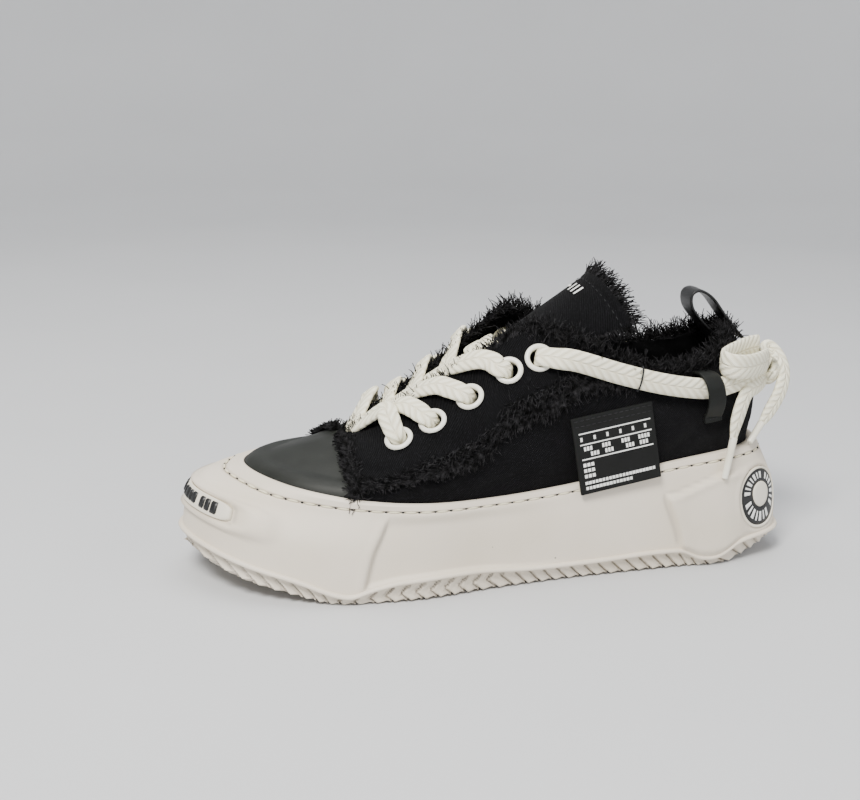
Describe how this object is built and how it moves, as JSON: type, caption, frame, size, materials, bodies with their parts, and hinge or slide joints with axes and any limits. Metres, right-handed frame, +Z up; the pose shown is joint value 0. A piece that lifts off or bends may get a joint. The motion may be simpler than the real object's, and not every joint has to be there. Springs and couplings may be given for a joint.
{
  "type": "worn out sneaker",
  "caption": "Low canvas lace-up sneaker for the left foot on a thick lugged cup sole, with frayed edges, a toe cap and a flat lace led round the heel.",
  "frame": {"origin": "on the floor under the middle of the shoe", "axes": "+X to the toe, +Y to the outer side of the left foot, +Z up"},
  "size_m": [0.3097, 0.1144, 0.143],
  "materials": {
    "tread_rubber": "moulded, matt",
    "cup_rubber": "moulded, satin",
    "lining": "matt textile",
    "canvas": "cotton twill, frayed edges",
    "leather": "satin",
    "strap": "smooth",
    "label": "matt",
    "enamel": "gloss enamel",
    "lace": "braided cotton"
  },
  "bodies": {
    "root": {"outsole": "tread_rubber", "midsole": "cup_rubber", "insole": "lining", "upper": "canvas", "tongue": "canvas", "toe_cap": "leather", "heel_strip": "leather", "pull_loop": "strap", "toe_plate": "cup_rubber", "heel_badge": "cup_rubber", "side_label": "label", "keeper_lateral": "strap", "eyelet_lateral_1": "enamel", "eyelet_lateral_2": "enamel", "eyelet_lateral_3": "enamel", "eyelet_lateral_4": "enamel", "eyelet_lateral_5": "enamel", "keeper_medial": "strap", "eyelet_medial_1": "enamel", "eyelet_medial_2": "enamel", "eyelet_medial_3": "enamel", "eyelet_medial_4": "enamel", "eyelet_medial_5": "enamel", "lace_bar": "lace", "lace_cross_1": "lace", "lace_cross_2": "lace", "lace_cross_3": "lace", "lace_cross_4": "lace", "lace_run_lateral": "lace", "lace_run_medial": "lace", "lace_loop": "lace", "lace_end_1": "lace", "lace_end_2": "lace", "lace_knot": "lace"}
  },
  "joints": []
}
